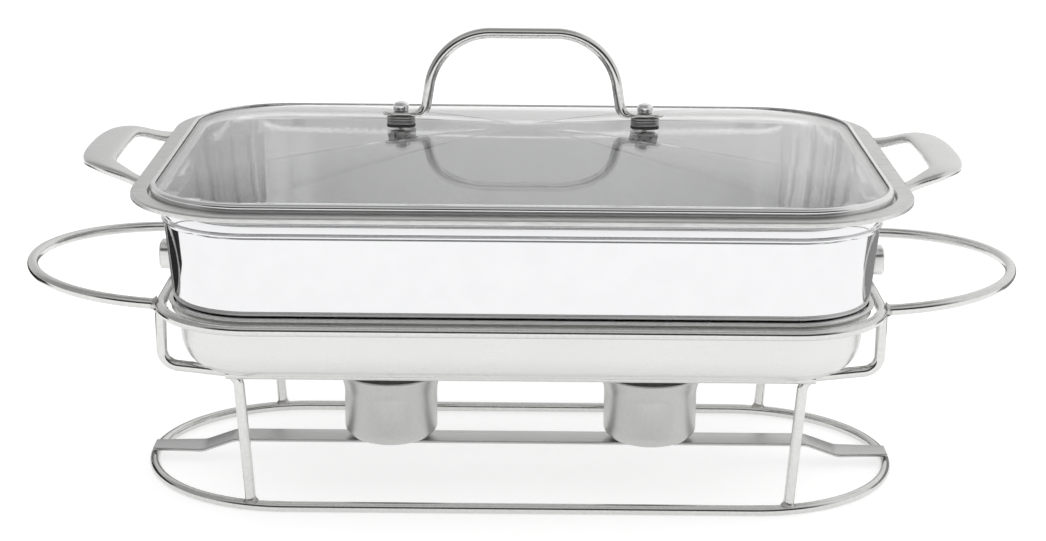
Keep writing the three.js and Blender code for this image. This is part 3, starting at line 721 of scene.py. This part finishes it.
def add_lid_handle():
    """A round rod bent into an arch and pressed flat at both ends."""
    low, high = corners("lid_handle")
    foot_z = low.z + GRIP_RADIUS
    top = high.z - GRIP_RADIUS
    tip = high.x
    lean = GRIP_HALF_X - GRIP_LEAN
    path = fillet_path(
        [(-tip, 0, foot_z), (-GRIP_HALF_X, 0, foot_z), (-lean, 0, top), (lean, 0, top),
         (GRIP_HALF_X, 0, foot_z), (tip, 0, foot_z)],
        [GRIP_FOOT_BEND, GRIP_BEND, GRIP_BEND, GRIP_FOOT_BEND], 60)
    full = evenly(path, 260)
    last = len(full) - 1
    rings = []
    for i, point in enumerate(full):
        along = (full[min(i + 1, last)] - full[max(i - 1, 0)]).normalized()
        up = Vector((0, -1, 0)).cross(along) * -1
        from_tip = tip - abs(point.x)
        round_share = smoothstep(from_tip, 17, 25) if point.z < foot_z + 6 else 1
        tip_share = max(0.0, 1 - from_tip / GRIP_FOOT_HALF_WIDTH)
        end_share = math.sqrt(max(0.0, 1 - tip_share ** 2)) * 0.98 + 0.02
        wider = (GRIP_RADIUS - GRIP_FOOT_HALF_WIDTH) * round_share
        half_width = (GRIP_FOOT_HALF_WIDTH + wider) * end_share
        half_thick = GRIP_FOOT_HALF_THICK + (GRIP_RADIUS - GRIP_FOOT_HALF_THICK) * round_share
        power = 4 - 2 * round_share
        rings.append([point + Vector((0, u, 0)) + up * v
                      for u, v in oval(half_width, half_thick, power, 32)])
    add_piece("lid_handle_arch", rings, "wire", "lid", ["lid_handle"])


def add_block(name, node, grooves, finish, edge=0.5):
    """A round-cornered plate or block, with level grooves around it."""
    low, high = corners(node)
    half_x, half_y = (high.x - low.x) / 2, (high.y - low.y) / 2
    centre = (low.x + high.x) / 2
    points = [(1.5, low.z, 0), (0, low.z, edge)]
    for groove in grooves:
        z = low.z + groove * (high.z - low.z)
        points += [(0, z - GROOVE_HALF_TALL, 0.1), (GROOVE_DEEP, z, 0.1),
                   (0, z + GROOVE_HALF_TALL, 0.1)]
    points += [(0, high.z, edge), (1.5, high.z, 0)]
    rings = around(half_x, half_y, BLOCK_CORNER, profile(points, 4), 10)
    rings = [[(x + centre, y, z) for x, y, z in ring] for ring in rings]
    add_piece(name, rings, finish, "lid", [node])


def add_lid_fittings():
    for side in ("left", "right"):
        low, high = corners(f"lid_screw_{side}")
        centre = (low.x + high.x) / 2
        radius = (high.x - low.x) / 2
        head = high.z - SCREW_HEAD
        section = profile([
            (0, low.z, 0), (SCREW_SHANK - 0.4, low.z, 0), (SCREW_SHANK, low.z + 0.5, 0),
            (SCREW_SHANK, head, 0.2), (radius, head, 0.5), (radius, high.z - 2.2, 0.6),
            (radius - 1.4, high.z - 0.7, 1.2), (0, high.z, 0)], 5)
        add_piece(f"lid_screw_{side}_turned", turned(section, centre, 0, 48), "mirror", "lid",
                  [f"lid_screw_{side}"])
        add_block(f"lid_spacer_{side}_block", f"lid_spacer_{side}", [0.34, 0.67], "fitting")
        add_block(f"lid_gasket_{side}_pad", f"lid_gasket_{side}", [], "rubber", 0.4)
        low, high = corners(f"lid_washer_{side}")
        washer = profile([(0, low.z, 0), (WASHER_RADIUS, low.z, 0.4),
                          (WASHER_RADIUS, high.z, 0.4), (0, high.z, 0)], 4)
        add_piece(f"lid_washer_{side}_disc", turned(washer, centre, 0, 48), "satin", "lid",
                  [f"lid_washer_{side}"])
        low, high = corners(f"lid_nut_{side}")
        nut = profile([(1.2, low.z, 0), (0, low.z, 0.6), (0, high.z, 0.6), (1.2, high.z, 0)], 4)
        rings = [[(centre + x, y, z) for x, y in circle(NUT_RADIUS - inset, 6)]
                 for inset, z in nut]
        add_piece(f"lid_nut_{side}_hexagon", rings, "satin", "lid", [f"lid_nut_{side}"], sharp=25)


# ---------------------------------------------------------------- studio

CAMERA_PLACE = (0.0008, -1.3208, 0.4976)
CAMERA_PITCH = 15.735  # degrees below level
CAMERA_ROLL = 0.5
CAMERA_LENS = 75.7
FLOOR_GLOW = 0.66  # keeps the floor pale under the object
FLOOR_HALF = 8
STUDIO_ROUGHNESS = 0.9

# low cards beside the object give its ends darker reflections: name, tone, start and end
CARDS = (
    ("card_left_near", 0.01, (-0.56, 0.02), (-0.40, 0.22)),
    ("card_left_far", 0.2, (-0.40, 0.23), (-0.20, 0.37)),
    ("card_right", 0.3, (0.24, 0.38), (0.56, 0.06)),
)
CARD_TALL = 0.12

# name, place, side of the square and power
LIGHTS = (
    ("overhead", (0, -0.1, 2.6), 4, 52),
    ("front", (0.2, -2.6, 1.3), 2, 9),
)
LIGHTS_AIM = (0, 0, 0.1)


def add_camera():
    data = bpy.data.cameras.new("camera")
    data.sensor_width = 36
    data.lens = CAMERA_LENS
    camera = bpy.data.objects.new("camera", data)
    camera.location = CAMERA_PLACE
    camera.rotation_mode = "XYZ"
    pitch = Matrix.Rotation(math.radians(90 - CAMERA_PITCH), 4, "X")
    turn = pitch @ Matrix.Rotation(math.radians(CAMERA_ROLL), 4, "Z")
    camera.rotation_euler = turn.to_euler()
    bpy.context.collection.objects.link(camera)
    bpy.context.scene.camera = camera


def grey_material(name, tone):
    _, _, shader, material = new_material(name)
    shader.inputs["Base Color"].default_value = (tone, tone, tone, 1)
    shader.inputs["Roughness"].default_value = STUDIO_ROUGHNESS
    return material, shader


def add_sheet(name, points, material, seen):
    mesh = bpy.data.meshes.new(name)
    mesh.from_pydata(points, [], [(0, 1, 2, 3)])
    mesh.materials.append(material)
    sheet = bpy.data.objects.new(name, mesh)
    sheet.visible_camera = seen
    bpy.context.collection.objects.link(sheet)
    return sheet


def add_studio():
    pale, shader = grey_material("pale_floor", 0.5)
    shader.inputs["Emission Color"].default_value = (1, 1, 1, 1)
    shader.inputs["Emission Strength"].default_value = FLOOR_GLOW
    edge = FLOOR_HALF
    points = [(-edge, -edge, 0), (edge, -edge, 0), (edge, edge, 0), (-edge, edge, 0)]
    add_sheet("floor", points, pale, True)
    for name, tone, start, end in CARDS:
        card, _ = grey_material(name, tone)
        points = [(*start, 0), (*end, 0), (*end, CARD_TALL), (*start, CARD_TALL)]
        sheet = add_sheet(name, points, card, False)
        sheet.visible_diffuse = False
        sheet.visible_shadow = False


def add_lights():
    for name, place, size, power in LIGHTS:
        data = bpy.data.lights.new(name, "AREA")
        data.shape = "SQUARE"
        data.size = size
        data.energy = power
        light = bpy.data.objects.new(name, data)
        light.location = place
        away = Vector(place) - Vector(LIGHTS_AIM)
        light.rotation_euler = away.to_track_quat("Z", "Y").to_euler()
        light.visible_glossy = False
        bpy.context.collection.objects.link(light)


def add_world():
    """Pale all round, darker on the left, straight above and low at the front."""
    world = bpy.data.worlds.new("studio")
    bpy.context.scene.world = world
    world.use_nodes = True
    nodes, links = world.node_tree.nodes, world.node_tree.links
    place = nodes.new("ShaderNodeTexCoord")
    split = nodes.new("ShaderNodeSeparateXYZ")
    links.new(place.outputs["Generated"], split.inputs["Vector"])

    def ramp(axis, start, end):
        node = nodes.new("ShaderNodeMapRange")
        node.interpolation_type = "SMOOTHSTEP"
        node.inputs["From Min"].default_value = start
        node.inputs["From Max"].default_value = end
        links.new(split.outputs[axis], node.inputs["Value"])
        return node.outputs["Result"]

    def combined(first, second, operation):
        node = nodes.new("ShaderNodeMath")
        node.operation = operation
        links.new(first, node.inputs[0])
        links.new(second, node.inputs[1])
        return node.outputs["Value"]

    side = mixed_colour(nodes, links, ramp("X", -0.75, 0.75), (0.4, 0.4, 0.4), (0.9, 0.9, 0.9))
    rear = mixed_colour(nodes, links, ramp("X", -0.4, 0.4), (0.68, 0.68, 0.685), (0.95, 0.95, 0.945))
    level = mixed_socket(nodes, links, ramp("Y", 0.35, 0.8), side, rear, "RGBA")
    front = mixed_colour(nodes, links, ramp("Z", 0.45, 0.85), (0.55, 0.55, 0.55), (0.7, 0.7, 0.7))
    level = mixed_socket(nodes, links, ramp("Y", -0.2, -0.6), level, front, "RGBA")
    low_front = combined(ramp("Y", -0.35, -0.75), ramp("Z", 0.64, 0.42), "MULTIPLY")
    dark = combined(low_front, ramp("Z", 0.78, 0.97), "MAXIMUM")
    shade = mixed_colour(nodes, links, ramp("Z", 0.5, 0.8), (0.05, 0.05, 0.05), (0.35, 0.35, 0.35))
    colour = mixed_socket(nodes, links, dark, level, shade, "RGBA")
    links.new(colour, nodes["Background"].inputs["Color"])
    nodes["Background"].inputs["Strength"].default_value = 1.0


add_camera()
add_studio()
add_lights()
add_world()
bpy.context.scene.view_settings.view_transform = "Standard"

add_ring("base_ring_wire", ["base_wire_front", "base_wire_rear", "base_end_left", "base_end_right"])
add_ring("upper_ring_wire", ["upper_ring"], UPPER_RING_CORNER)
add_legs()
add_loops()
add_guides()
add_strip()
add_cups()
add_water_pan()
add_food_pan()
add_pan_handles()
add_lid_rim()
add_lid_glass()
add_lid_handle()
add_lid_fittings()
